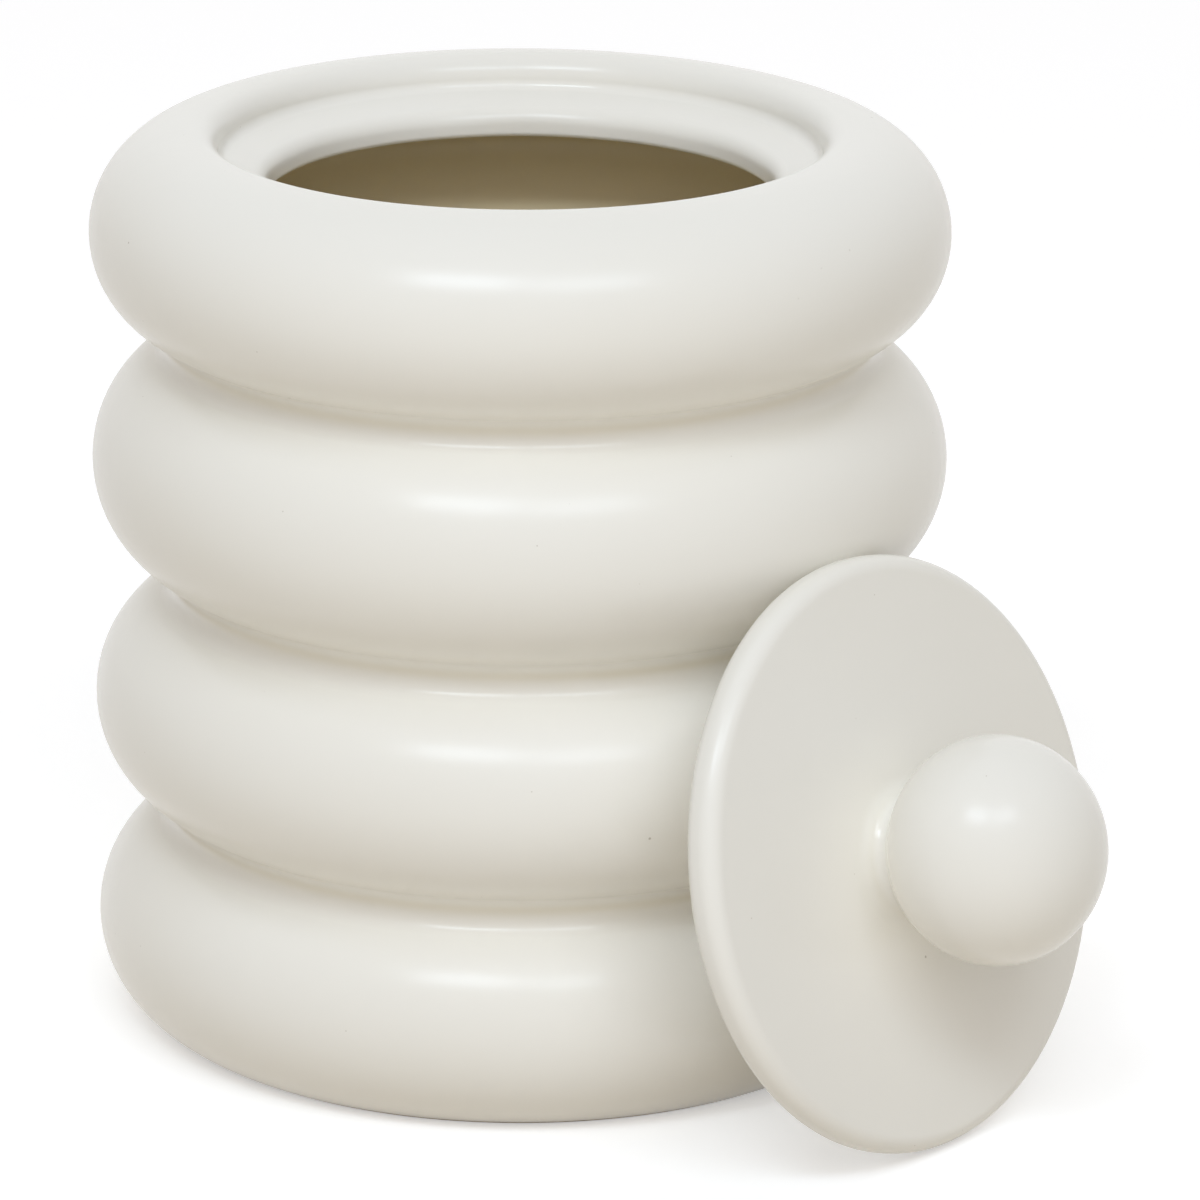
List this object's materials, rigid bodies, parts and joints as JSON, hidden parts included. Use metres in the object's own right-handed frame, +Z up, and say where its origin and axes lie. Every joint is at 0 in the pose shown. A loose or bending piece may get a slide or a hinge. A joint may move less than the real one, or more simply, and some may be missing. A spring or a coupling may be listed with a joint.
{
  "type": "lidded jar",
  "caption": "Round glazed ceramic jar of stacked rounded rings with a recessed mouth for its lid; the flat round lid with a ball knob leans against its side. Holds small things on a shelf.",
  "frame": {"origin": "middle of the jar's flat foot, on the surface that it stands on", "axes": "+Z up along the jar's axis; the picture looks along +Y with +X to the right, and the lid leans on the +X, -Y side"},
  "size_m": [0.1747, 0.1789, 0.1599],
  "materials": {
    "jar_glaze": "satin",
    "lid_glaze": "satin"
  },
  "bodies": {
    "jar": {"jar_body": "jar_glaze"},
    "lid": {"lid_plate": "lid_glaze", "lid_knob": "lid_glaze"}
  },
  "joints": [
    {"name": "lid_lift", "type": "slide", "parent": "jar", "child": "lid", "axis": [0.7403, -0.6212, 0.2571], "range_m": [0, 0.12]}
  ]
}
